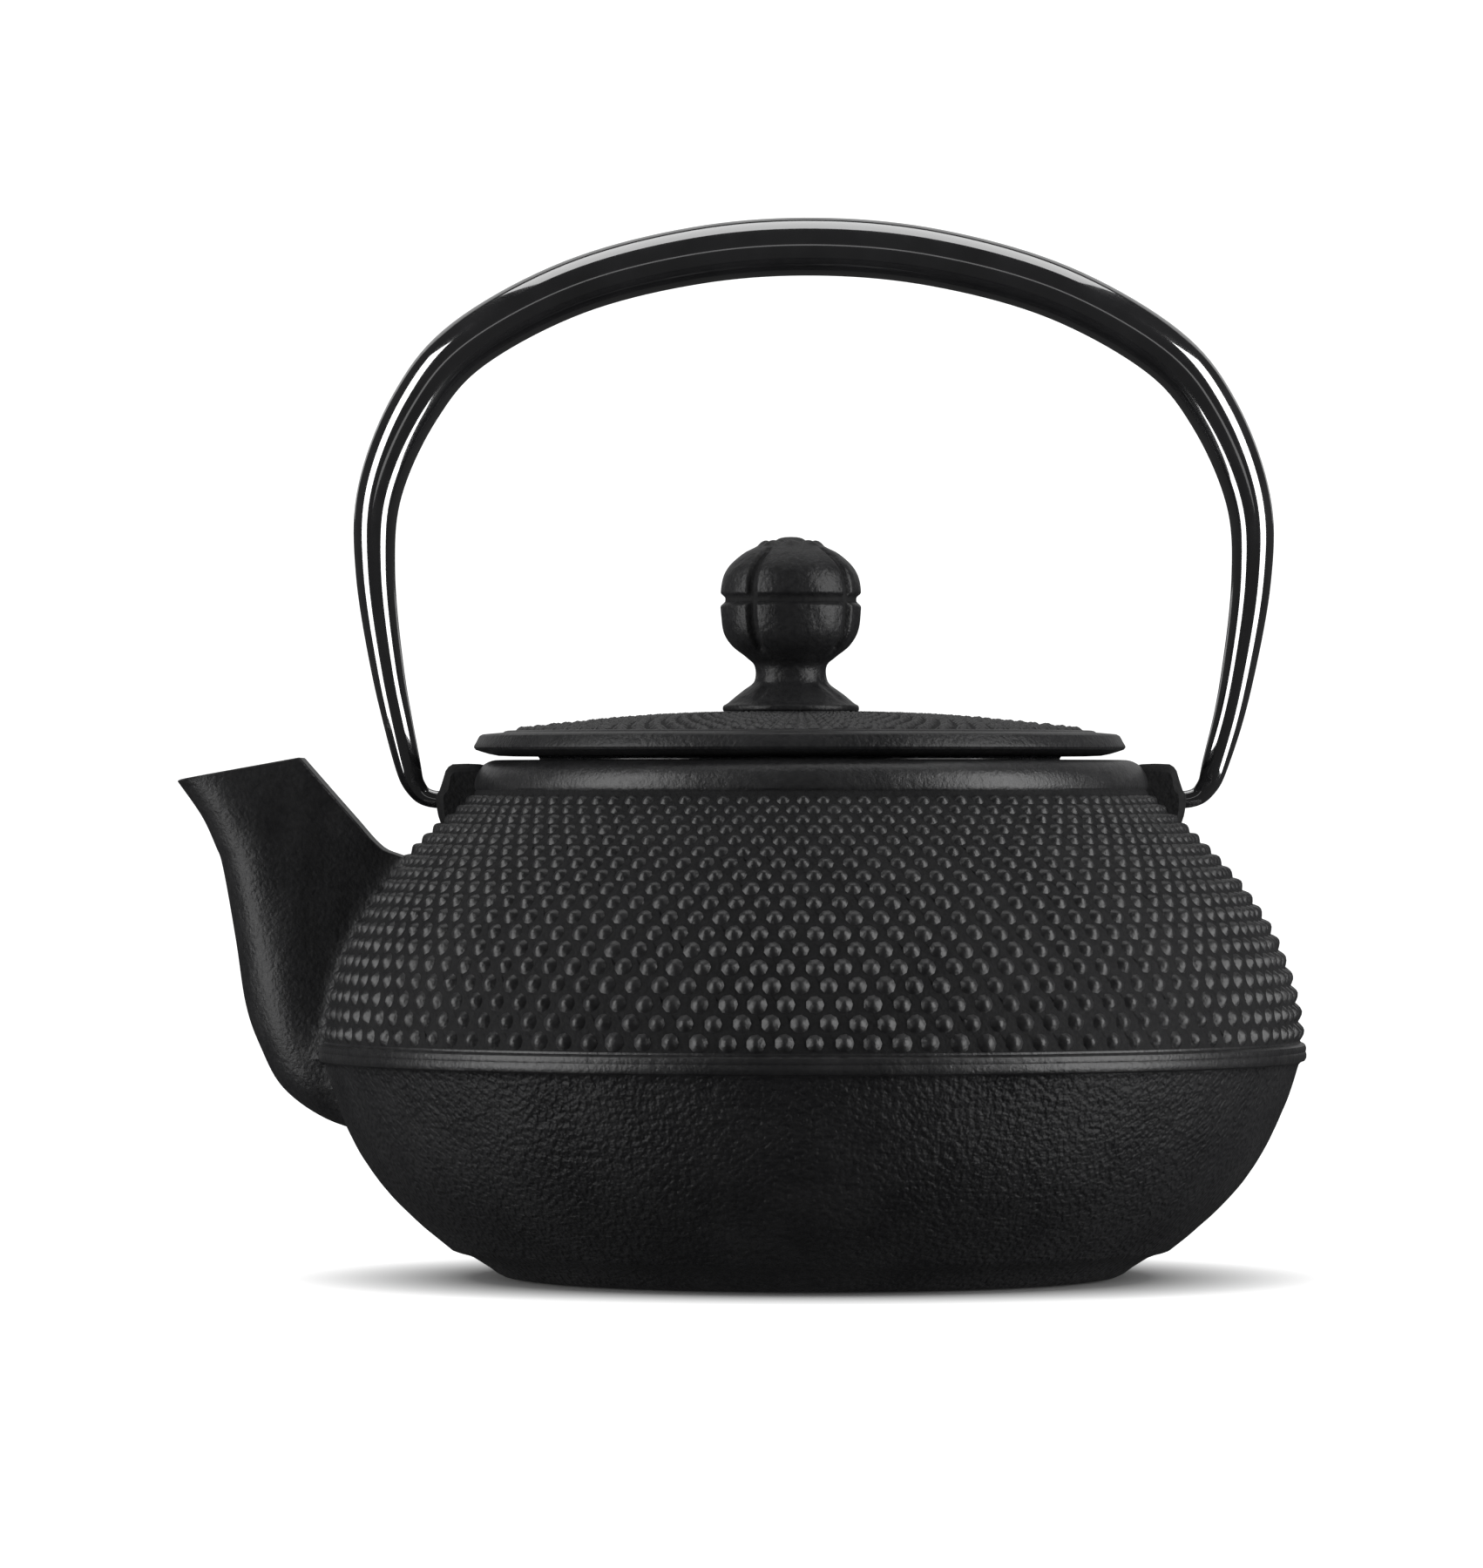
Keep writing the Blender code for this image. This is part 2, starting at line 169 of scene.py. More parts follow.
def turned(skin, outline, columns, slot=0, x=0.0, top=None, roughness=0.0, seed=1):
    """Rings down an outline, joined to the ring on top. Roughness is how uneven it is, in millimetres."""
    ring = top
    for radius, z in outline:
        places = circle(radius, z, columns, x)
        if roughness:
            bump = roughness * smooth_noise(places, UNEVEN_SIZE, seed)
            places[:, 0] += bump * (places[:, 0] - x) / radius
            places[:, 1] += bump * places[:, 1] / radius
        row = skin.add(places)
        if ring is not None:
            skin.strip(ring, row, slot)
        ring = row
    return ring


def combine(target, tool, operation):
    """Joins or cuts one closed mesh with another for good."""
    step = target.modifiers.new("combine", "BOOLEAN")
    step.operation = operation
    step.solver = "MANIFOLD"
    step.object = tool
    bpy.context.view_layer.update()
    depsgraph = bpy.context.evaluated_depsgraph_get()
    mesh = bpy.data.meshes.new_from_object(target.evaluated_get(depsgraph))
    target.modifiers.remove(step)
    target.data = mesh
    bpy.data.objects.remove(tool)


# ---------------------------------------------------------------- hobnails

# Rings of one stud below its tip: share of the radius, share of the height
DOT_RINGS = [(1.0, 0.0), (0.72, 0.40), (0.36, 0.82)]
# One stud's radius and height over the pitch of its row, and the number of its sides
POT_DOT = (0.33, 0.18, 9)
LID_DOT = (0.32, 0.19, 8)
# How much the studs differ, as standard deviations: radius and height as shares of the stud's own,
# places round the row and down the wall as shares of the pitch
DOT_SPREAD = (0.035, 0.08, 0.016, 0.012)
OUTLINE_STEP = 0.25


def bridge(inner, outer):
    """Corner pairs between two loops given by their angles, as (loop, index) triples."""
    faces, i, j = [], 0, 0
    inner = np.unwrap(np.append(inner, inner[0]))
    outer = np.unwrap(np.append(outer, outer[0]))
    while i < len(inner) - 1 or j < len(outer) - 1:
        step_inner = j == len(outer) - 1 or (i < len(inner) - 1 and inner[i + 1] <= outer[j + 1])
        if step_inner:
            faces.append((("in", i + 1), ("in", i), ("out", j)))
            i += 1
        else:
            faces.append((("in", i), ("out", j), ("out", j + 1)))
            j += 1
    return faces


class DotField:
    """Staggered rows of small domes on a turned surface, with rows as far apart as the pitch asks."""

    def __init__(self, outline, columns, rows, x=0.0):
        self.outline = even(outline, OUTLINE_STEP)
        self.dots, self.rows, self.x = columns, rows, x
        step = np.diff(self.outline, axis=0)
        run = np.linalg.norm(step, axis=1)
        middle = (self.outline[1:, 0] + self.outline[:-1, 0]) / 2
        self.along = np.concatenate([[0], np.cumsum(run)])
        self.even_scale = np.concatenate([[0], np.cumsum(run / middle)])
        normal = np.stack([-step[:, 1], step[:, 0]], 1) / run[:, None]
        self.normal = np.vstack([normal[:1], (normal[1:] + normal[:-1]) / 2, normal[-1:]])
        self.ratio = self.even_scale[-1] / rows / (TURN / columns)

    def at(self, angle, along, lift=0.0):
        """Points on the surface at an angle and a length down the outline, lifted off it."""
        radius = np.interp(along, self.along, self.outline[:, 0])
        z = np.interp(along, self.along, self.outline[:, 1])
        out = np.interp(along, self.along, self.normal[:, 0])
        up = np.interp(along, self.along, self.normal[:, 1])
        radius, z = radius + out * lift, z + up * lift
        return np.stack([self.x + radius * np.cos(angle), radius * np.sin(angle), z + 0 * angle], -1)

    def border(self, row):
        """Where a row boundary lies along the outline."""
        return np.interp(self.even_scale[-1] * row / self.rows, self.even_scale, self.along)

    def build(self, skin, shape, slot, shaded_ground):
        """Adds the field, its studs in one slot and the recesses between them in another slot, whose
        darker tone is painted shade.

        Returns its first and last border rings.
        """
        radius_share, height_share, sides = shape
        half = TURN / self.dots / 2
        rings = []
        for row in range(self.rows + 1):
            angle = half * np.arange(2 * self.dots)
            rings.append(skin.add(self.at(angle, np.full(2 * self.dots, self.border(row)))))
        turn = TURN * np.arange(sides) / sides
        corners = np.array([(-1, -1), (0, -1), (1, -1), (1, 1), (0, 1), (-1, 1)], float)
        corners[:, 1] *= self.ratio
        outer = np.arctan2(corners[:, 1], corners[:, 0])
        first = np.argmin(np.abs(np.angle(np.exp(1j * (turn - outer[0])))))
        order = (first + np.arange(sides)) % sides
        pattern = bridge(turn[order], outer)
        for row in range(self.rows):
            low, high = self.border(row), self.border(row + 1)
            middle = (low + high) / 2
            radius = float(np.interp(middle, self.along, self.outline[:, 0]))
            pitch = TURN * radius / self.dots
            for i in range(self.dots):
                column = 2 * i + (row % 2)
                size, height, slip, drop = DOT_SPREAD * RNG.normal(size=4)
                dot_radius = pitch * radius_share * (1 + size)
                dot_height = pitch * height_share * (1 + height)
                centre = TURN * column / (2 * self.dots) + slip * pitch / radius
                stud = (centre, middle + drop * pitch, radius, dot_radius, dot_height)
                self.dot(skin, column, stud, rings[row], rings[row + 1], turn[order], pattern,
                         slot, shaded_ground)
        return rings[0], rings[-1]

    def dot(self, skin, column, stud, low, high, turn, pattern, slot, shaded_ground):
        """Adds one stud and the six-cornered patch of darker recess round it, between two border rings;
        that darker tone is painted shade.
        """
        centre, middle, radius, dot_radius, dot_height = stud
        loops = []
        for share, lift in DOT_RINGS:
            angle = centre + dot_radius * share * np.cos(turn) / radius
            along = middle + dot_radius * share * np.sin(turn)
            loops.append(skin.add(self.at(angle, along, dot_height * lift)))
        tip = skin.add([self.at(np.float64(centre), middle, dot_height)])[0]
        n = 2 * self.dots
        a, b, c = (column - 1) % n, column % n, (column + 1) % n
        edge = [low[a], low[b], low[c], high[c], high[b], high[a]]
        outer = loops[0]
        for triple in pattern:
            pick = [outer[k % len(outer)] if loop == "in" else edge[k % 6] for loop, k in triple]
            skin.face(pick[::-1], shaded_ground)
        for wide, narrow in zip(loops, loops[1:]):
            for k in range(len(wide)):
                m = (k + 1) % len(wide)
                skin.face((wide[k], narrow[k], narrow[m], wide[m]), slot)
        last = loops[-1]
        for k in range(len(last)):
            skin.face((last[k], tip, last[(k + 1) % len(last)]), slot)


# ---------------------------------------------------------------- pot

# Material slots of the pot. The ground slot's darker tone is painted shade in the recesses between the
# studs; its rougher, duller finish is its own
CAST, ENAMEL, PEBBLED, SHADED_GROUND, BURNISHED, SANDED = range(6)
TOOL_SIDES, CAVITY_COLUMNS = 32, 120
# The spout from its root up: front and back point of each section (x, z), and its half width
SPOUT_SECTIONS = [
    ((-66.0, 21.6), (-57.0, 20.0), 4.5),
    ((-74.6, 24.3), (-57.0, 24.0), 7.0),
    ((-81.3, 29.1), (-57.0, 29.5), 9.2),
    ((-84.9, 35.6), (-57.0, 36.0), 10.0),
    ((-87.1, 42.0), (-57.0, 43.0), 10.0),
    ((-88.6, 51.7), (-58.0, 53.0), 9.5),
    ((-90.6, 63.0), (-61.0, 63.2), 8.9),
    ((-91.7, 66.3), (-66.1, 66.2), 8.7),
    ((-93.9, 71.0), (-70.5, 71.0), 8.4),
    ((-97.6, 76.3), (-78.2, 79.8), 8.0),
]
SPOUT_NOSE, SPOUT_CORNER, SPOUT_SQUARENESS = 1.05, 0.6, 0.9
# The lip's rounded edge: how far in, as a share, and how far up each of its two last rings lies
SPOUT_LIP = [(0.985, 0.16), (0.955, 0.24)]
SPOUT_WALL = 2.6
SPOUT_BORE_FIRST = 2
SPOUT_BORE_BACK_X = -60.0
ROOT_FILLET = 0.8
EAR_HALF_Y = 6.0
# Across an ear: share of its half width, share of its edge rounding
EAR_EDGE = [(-1, 1.0), (-0.93, 0.55), (-0.8, 0.2), (-0.6, 0.0)]
EAR_ROUNDING, EAR_DRAFT = 1.3, 0.10
SOCKET_R, SOCKET_END_X = 1.75, 51.7
# An ear seen from the front: x, z
EAR_OUTLINE = [
    (44.0, 78.4), (49.6, 78.4), (50.6, 78.95), (53.0, 79.05), (55.2, 78.95), (56.1, 78.3),
    (56.6, 76.6), (57.15, 74.9), (57.65, 74.2), (57.7, 73.2), (57.4, 71.2), (56.8, 69.4),
    (55.0, 66.0), (44.0, 66.0),
]


FLAT_BASE_POINTS = 8  # how many of the outline's last points lie on the flat base


def pot_outline():
    """Outline of the pot's outside in four runs: collar, hobnail wall, belt, and down to the base."""
    collar = [(30.0, RIM_Z), (42.0, RIM_Z), *arc((48.2, 75.8), 3.8, 92, -8, 12), (51.75, 74.95)]
    belt = [
        (75.35, 36.2), (75.75, 36.05), (76.05, 35.8), (76.16, 35.45), (76.14, 35.05), (76.05, 34.85),
        (76.15, 34.65), (76.2, 34.3), (76.18, 33.85), (75.95, 33.45), (75.35, 33.2),
    ]
    foot = [
        (54.6, 4.05), (53.4, 3.75), (52.2, 3.3), (50.9, 2.5), (49.5, 1.6), (48.4, 0.8),
        (47.2, 0.25), (45.6, 0.0), (40.5, 0.0), (39.8, 0.35), (25.0, 0.4), (9.5, 0.4), (8.8, 0.1),
        (4.0, 0.1),
    ]
    lower = even(bezier(LOWER_WALL, 60), 0.95)
    return collar, even(bezier(UPPER_WALL, 80), OUTLINE_STEP), belt, [*lower, *foot]


def outside_radius(z):
    """The pot's radius and its normal's outward share at a height, hobnails left out."""
    collar, wall, belt, lower = pot_outline()
    line = np.vstack([collar[2:], wall, belt, lower[:-FLAT_BASE_POINTS]])[::-1]
    radius = np.interp(z, line[:, 1], line[:, 0])
    slope = (np.interp(z + 0.5, line[:, 1], line[:, 0]) - np.interp(z - 0.5, line[:, 1], line[:, 0]))
    return radius, 1 / np.sqrt(1 + slope**2)


def squared(angle, power):
    """Cosine and sine of an angle, pushed out towards the corners by a power below 1."""
    pair = np.array([np.cos(angle), np.sin(angle)])
    return np.sign(pair) * np.abs(pair) ** power


def spout_section(front, back, half_width, points_per_side, flare=False):
    """One section: a rounded nose, flat sides and tight back corners. It can flare onto the pot."""
    front, back = np.array([front[0], 0, front[1]]), np.array([back[0], 0, back[1]])
    length = np.linalg.norm(back - front)
    along, across = (back - front) / length, np.array([0, 1, 0])
    nose, corner = half_width * SPOUT_NOSE, min(half_width * 0.1, SPOUT_CORNER)
    angle = np.radians(np.linspace(90, 270, 25))
    ahead, aside = squared(angle, SPOUT_SQUARENESS)
    nose_x, nose_y = nose + nose * ahead, half_width * aside
    nose_n = np.stack([np.cos(angle), np.sin(angle)], 1)
    side_x = np.linspace(nose, length - corner, points_per_side + 2)[1:-1]
    side = np.stack([side_x, np.full_like(side_x, -half_width)], 1)
    turn = np.radians(np.linspace(270, 360, 7))
    back_x = length - corner + corner * np.cos(turn)
    back_y = -(half_width - corner) + corner * np.sin(turn)
    back_n = np.stack([np.cos(turn), np.sin(turn)], 1)
    flat = np.vstack([
        np.stack([nose_x, nose_y], 1), side, np.stack([back_x, back_y], 1),
        np.stack([back_x, -back_y], 1)[::-1], (side * [1, -1])[::-1],
    ])
    normal = np.vstack([
        nose_n, np.tile([0.0, -1.0], (len(side), 1)), back_n,
        (back_n * [1, -1])[::-1], np.tile([0.0, 1.0], (len(side), 1)),
    ])
    if flare:
        grown = root_fillet(front + flat[:, :1] * along + flat[:, 1:] * across)
        flat = flat + normal * [0.2, 1.0] * grown[:, None]
    return front + flat[:, :1] * along + flat[:, 1:] * across


def root_fillet(places):
    """How far the spout's skin swells at each point so that it meets the pot in a fillet."""
    radius, share = outside_radius(places[:, 2])
    off = (np.hypot(places[:, 0], places[:, 1]) - radius) * share
    near = np.clip(ROOT_FILLET - off, 0, ROOT_FILLET)
    return ROOT_FILLET - np.sqrt(np.maximum(ROOT_FILLET**2 - near**2, 0))


def loft(name, rings, materials, slot=0, sharp_deg=40):
    """A closed skin over rings of equal length, capped at both ends."""
    skin = Skin()
    rows = [skin.add(ring) for ring in rings]
    for low, high in zip(rows, rows[1:]):
        skin.strip(high, low, slot)
    skin.cap(rows[-1], np.mean(rings[-1], 0), slot)
    skin.cap(rows[0], np.mean(rings[0], 0), slot, flip=True)
    obj = skin.object(name, materials, sharp_deg)
    if signed_volume(obj.data) < 0:
        obj.data.flip_normals()
    return obj


def signed_volume(mesh):
    """Positive when the faces point outwards."""
    mesh.calc_loop_triangles()
    points = np.array([v.co for v in mesh.vertices])
    corner = np.array([t.vertices for t in mesh.loop_triangles])
    a, b, c = points[corner[:, 0]], points[corner[:, 1]], points[corner[:, 2]]
    return float((a * np.cross(b, c)).sum() / 6)


def spout_outside(materials):
    """The spout as a closed solid, its root buried in the pot's wall."""
    rows = [(*front, *back, half) for front, back, half in SPOUT_SECTIONS]
    rows = smooth_rows(rows, 7)
    rings = [spout_section(row[:2], row[2:4], row[4], 22, flare=True) for row in rows]
    front_x, front_z, back_x, back_z = rows[-1][:4]
    up = np.array([front_z - back_z, 0, back_x - front_x])
    up /= np.linalg.norm(up)
    lip, middle = rings[-1], rings[-1].mean(0)
    for inset, lift in SPOUT_LIP:
        rings.append(middle + (lip - middle) * inset + up * lift)
    rings = [ring + np.outer(0.12 * smooth_noise(ring, 9, 3), [0, 1, 0]) for ring in rings]
    return loft("spout_outside", rings, materials, SANDED)


def spout_bore(materials):
    """The spout's channel, from inside the pot to past the lip, a little wider at the lip."""
    rows = []
    for front, back, half in SPOUT_SECTIONS[SPOUT_BORE_FIRST:]:
        back_x = min(back[0] - SPOUT_WALL * 1.35, SPOUT_BORE_BACK_X)
        rows.append((front[0] + SPOUT_WALL, front[1], back_x, back[1], half - SPOUT_WALL * 0.8))
    rows = smooth_rows(rows, 5)
    last = rows[-1]
    along = (last - rows[-2])[:4]
    along /= np.linalg.norm(along)
    grow = np.array([-0.5, 0, 0.6, 0, 0.5])
    step = np.append(along, 0)
    rows = [*rows, last + step * 0.8 + grow, last + step * 6 + grow * 1.3]
    rings = [spout_section(row[:2], row[2:4], row[4], 10) for row in rows]
    return loft("spout_bore", rings, materials, ENAMEL)


def ear(side, materials):
    """A cast lug with softly rounded edges, drafted towards its outer face."""
    outline = np.array(EAR_OUTLINE)
    middle = outline.mean(0)
    line = even(np.vstack([outline, outline[:1]]), 0.8)[:-1]
    inward = (middle - line) / np.linalg.norm(middle - line, axis=1)[:, None]
    loops = []
    for y, shrink in EAR_EDGE + [(-y, shrink) for y, shrink in EAR_EDGE[::-1]]:
        flat = line + inward * shrink * EAR_ROUNDING
        draft = 1 - EAR_DRAFT * np.clip((flat[:, 0] - 50) / 8, 0, 1)
        loops.append(np.stack([side * flat[:, 0], y * EAR_HALF_Y * draft, flat[:, 1]], 1))
    # The ear takes the ground finish, whose darker tone is painted shade
    return loft(f"ear_{side}", loops, materials, SHADED_GROUND)


def round_tool(name, radius, start, end, materials):
    """A round cutter between two points."""
    start, end = np.array(start, float), np.array(end, float)
    run = (end - start) / np.linalg.norm(end - start)
    first = np.cross(run, [0, 1, 0] if abs(run[1]) < 0.9 else [1, 0, 0])
    first /= np.linalg.norm(first)
    second = np.cross(run, first)
    angle = TURN * np.arange(TOOL_SIDES) / TOOL_SIDES
    ring = radius * (np.outer(np.cos(angle), first) + np.outer(np.sin(angle), second))
    return loft(name, [start + ring, end + ring], materials)


def cavity(materials):
    """The space inside the pot, from above the mouth down to the floor."""
    neck = [
        (43.3, 90.0), (43.3, 79.65), (43.0, 79.2), (42.5, 78.9), (42.5, 77.35), (42.2, 77.0),
        (38.9, 77.0), (38.6, 76.7), (38.6, 74.4), (39.0, 74.0), (45.0, 73.6),
    ]
    floor = [(50.0, 4.6), (46.0, 3.8), (40.0, 3.6), (20.0, 3.6)]
    outline = [*neck, *bezier(UPPER_LINING, 24), *bezier(LOWER_LINING, 18), *floor]
    skin = Skin()
    top = skin.add(circle(*outline[0], CAVITY_COLUMNS))
    skin.cap(top, (0, 0, outline[0][1]), ENAMEL)
    last = turned(skin, outline[1:], CAVITY_COLUMNS, ENAMEL, top=top)
    skin.cap(last, (0, 0, outline[-1][1]), ENAMEL, flip=True)
    return skin.object("cavity", materials)


def pot_skin():
    """The pot's whole outside, from the middle of its closed mouth down to the middle of its base."""
    collar, wall, belt, lower = pot_outline()
    skin = Skin()
    top = skin.add(circle(*collar[0], POT_COLUMNS))
    skin.cap(top, (0, 0, RIM_Z), CAST)
    ring = turned(skin, collar[1:], POT_COLUMNS, BURNISHED, top=top, roughness=0.035, seed=11)
    field = DotField(wall, DOTS_PER_ROW, DOT_ROWS)
    # Studs take the burnished finish. The recesses between them and the strip under the collar take the
    # ground finish, whose darker tone is painted shade
    first, last = field.build(skin, POT_DOT, BURNISHED, SHADED_GROUND)
    skin.strip(ring, first, SHADED_GROUND)
    ring = turned(skin, belt, POT_COLUMNS, BURNISHED, top=last, roughness=0.05, seed=12)
    ring = turned(skin, lower, POT_COLUMNS, PEBBLED, top=ring, roughness=0.05, seed=13)
    skin.cap(ring, (0, 0, lower[-1][1]), PEBBLED, flip=True)
    return skin


def make_pot(*materials):
    """One casting with its spout and ears, hollow, with a blind socket in each ear."""
    pot = pot_skin().object("pot_casting", materials)
    combine(pot, spout_outside(materials), "UNION")
    for side in (-1, 1):
        combine(pot, ear(side, materials), "UNION")
    combine(pot, cavity(materials), "DIFFERENCE")
    combine(pot, spout_bore(materials), "DIFFERENCE")
    for side in (-1, 1):
        mouth, end = (side * 60, 0, HINGE_Z), (side * SOCKET_END_X, 0, HINGE_Z)
        combine(pot, round_tool("socket", SOCKET_R, mouth, end, materials), "DIFFERENCE")
    finish_mesh(pot.data, 30)
    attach(pot, "pot")
    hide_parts("pot_upper", "pot_lower", "pot_spout")


# ---------------------------------------------------------------- bail

# Right half of the bail's middle line from the hook up: x, z, thickness, width
BAIL_STATIONS = [
    (EAR_X - 5.4, HINGE_Z, 2.7, 2.7),
    (EAR_X + 0.6, HINGE_Z, 2.7, 2.7),
    (60.9, 75.4, 3.2, 3.3),
    (62.4, 79.6, 4.1, 5.2),
    (65.3, 92.0, 5.0, 7.6),
    (67.5, 108.0, 6.1, 9.2),
    (66.9, 120.5, 6.9, 10.0),
    (61.6, 133.5, 7.8, 10.6),
    (53.5, 143.2, 8.2, 11.0),
    (37.4, 152.1, 8.5, 11.0),
    (18.5, 157.2, 8.8, 11.0),
    (0.0, 158.75, 8.9, 11.0),
]
BAIL_LEAN_DEG, BAIL_LEAN_START = 0.6, 14.0
BAIL_SQUARENESS = 0.95
SLOT_START_Z, SLOT_FADE = 84.0, 8.0


def leaned(x, z):
    """The bail's small lean to the right about its hinge, fading out towards the hooks."""
    share = np.clip((z - HINGE_Z) / BAIL_LEAN_START, 0, 1)
    angle = math.radians(BAIL_LEAN_DEG) * share**2 * (3 - 2 * share)
    up = z - HINGE_Z
    return x * np.cos(angle) + up * np.sin(angle), HINGE_Z + up * np.cos(angle) - x * np.sin(angle)


def bail_section(thickness, width, slot):
    """Outline of the folded sheet: round outside, flatter inside with a slot where its edges meet."""
    out, side = squared(np.radians(np.arange(-150, 151, 7.5)), BAIL_SQUARENESS)
    out, side = out * thickness / 2, side * width / 2
    inner = -thickness / 2
    half, deep = 0.055 * width, slot * 0.2 * thickness
    groove = [
        (inner * 0.985, width * 0.13), (inner, half * 1.7), (inner + 0.25 * deep, half),
        (inner + deep, half * 0.85), (inner + deep, -half * 0.85), (inner + 0.25 * deep, -half),
        (inner, -half * 1.7), (inner * 0.985, -width * 0.13),
    ]
    return np.vstack([np.stack([out, side], 1), groove])


def make_bail(lacquer):
    """Both halves of the bail, swept along its middle line from hook to hook."""
    right = np.array(BAIL_STATIONS)
    line = smooth_rows(np.vstack([right[:-1] * [-1, 1, 1, 1], right[::-1]]), 9)
    x, z = leaned(line[:, 0], line[:, 1])
    places = np.stack([x, np.zeros_like(x), z], 1)
    run = np.gradient(places, axis=0)
    run /= np.linalg.norm(run, axis=1)[:, None]
    outward = np.cross(run, [0, 1, 0])
    rings = []
    for place, out, row in zip(places, outward, line):
        slot = np.clip((row[1] - SLOT_START_Z) / SLOT_FADE, 0, 1)
        flat = bail_section(row[2], row[3], slot)
        rings.append(place + flat[:, :1] * out + flat[:, 1:] * [0, 1, 0])
    bail = loft("bail", rings, [lacquer], sharp_deg=60)
    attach(bail, "bail")
    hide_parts("bail_handle")


# ---------------------------------------------------------------- lid

# Outline of the lid (radius from its middle, z): boss under the knob, domed field, outer rim,
# then the enamelled skirt and underside
LID_BOSS = [(2.5, 87.0), (6.0, 87.0), (9.4, 86.98), (10.4, 86.95)]
LID_WALL = [(11.2, 86.92), (17.0, 86.65), (23.5, 86.22), (31.4, 85.42), (38.4, 84.6), (43.8, 83.95)]
LID_RIM = [
    (44.3, 83.88), (44.6, 84.05), (45.0, 84.12), (45.4, 84.02), (45.7, 83.82), (47.4, 83.68),
    (48.8, 83.55), (49.3, 83.3), (49.55, 82.9), (49.8, 82.4), (50.15, 81.8), (50.2, 81.5),
    (49.9, 81.15), (49.0, 80.85), (47.8, 80.5), (46.4, 80.22), (44.6, 80.15), (40.7, 80.2),
]
LID_UNDERSIDE = [
    (40.3, 80.1), (40.1, 79.8), (40.1, 78.9), (39.8, 78.55), (39.3, 78.5), (37.6, 78.5), (37.1, 78.6),
    (36.9, 79.0), (36.9, 81.0), (36.4, 81.5), (30.0, 82.6), (20.0, 83.6), (10.0, 84.0), (3.0, 84.0),
]
LID_TOP_Z, LID_INSIDE_Z = 87.0, 84.0
STUD_HOLE_R, VENT_R, VENT_Y = 2.0, 1.6, 30


def make_lid(burnished, enamel, shaded_ground, sanded):
    """The domed lid with its field of small studs, the knob's stud hole and a steam hole at the back."""
    materials = [burnished, enamel, shaded_ground, sanded]
    # The between slot takes the ground finish, whose darker tone is painted shade in the recesses between
    # the lid's studs
    dome, lining, between, edge = range(4)
    skin = Skin()
    top = skin.add(circle(*LID_BOSS[0], LID_COLUMNS, LID_X))
    skin.cap(top, (LID_X, 0, LID_TOP_Z), dome)
    ring = turned(skin, LID_BOSS[1:], LID_COLUMNS, dome, LID_X, top)
    field = DotField(smooth_rows(LID_WALL, 12), LID_DOTS, LID_ROWS, LID_X)
    first, last = field.build(skin, LID_DOT, dome, between)
    skin.strip(ring, first, dome)
    ring = turned(skin, LID_RIM, LID_COLUMNS, edge, LID_X, last, roughness=0.03, seed=21)
    ring = turned(skin, LID_UNDERSIDE, LID_COLUMNS, lining, LID_X, ring, roughness=0.02, seed=22)
    skin.cap(ring, (LID_X, 0, LID_INSIDE_Z), lining, flip=True)
    lid = skin.object("lid", materials)
    stud_hole = round_tool("stud_hole", STUD_HOLE_R, (KNOB_X, 0, 80), (KNOB_X, 0, 90), materials)
    combine(lid, stud_hole, "DIFFERENCE")
    vent = round_tool("vent", VENT_R, (LID_X, VENT_Y, 78), (LID_X, VENT_Y, 90), materials)
    combine(lid, vent, "DIFFERENCE")
    finish_mesh(lid.data, 30)
    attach(lid, "lid")
    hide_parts("lid_plate")


# Outline of the knob from its tip down to its foot: radius, z
KNOB_OUTLINE = [
    (1.0, 113.95), (1.8, 113.75), (2.5, 113.3), (3.0, 113.05), (3.9, 112.9), (4.9, 112.65),
    (5.9, 112.15), (7.3, 111.3), (9.1, 109.7), (10.1, 108.1), (10.55, 106.3), (10.62, 104.6),
    (10.6, 102.6), (10.35, 100.2), (9.7, 98.4), (8.5, 96.8), (6.8, 95.35), (5.7, 94.4),
    (5.4, 93.3), (5.6, 92.0), (6.1, 91.2), (7.2, 90.4), (8.3, 89.6), (9.1, 88.9), (9.75, 88.35),
    (10.1, 88.15), (10.45, 87.9), (10.5, 87.3), (10.3, 87.05),
]
KNOB_COLUMNS = 224
KNOB_TOP_Z, KNOB_FOOT_Z, BALL_BOTTOM_Z = 114.0, 87.05, 97
CHANNEL_Z, CHANNEL_DEPTH = 104.3, 0.75
ROSETTE_R, ROSETTE_HEIGHT = 4.0, 0.55
CHANNEL_ANGLES = np.radians(-125 + 90 * np.arange(4))


def channel(distance):
    """Depth share of a soft-sided channel at a distance from its middle line."""
    share = np.clip((1.15 - np.abs(distance)) / 0.95, 0, 1)
    return share**2 * (3 - 2 * share)


def within(z, low, low_fade, high, high_fade):
    """1 between two heights, fading to 0 at each of them."""
    return np.clip((z - low) / low_fade, 0, 1) * np.clip((high - z) / high_fade, 0, 1)


def off_channels(angle):
    """Signed angles from each upright channel's middle."""
    return np.angle(np.exp(1j * (angle - CHANNEL_ANGLES)))


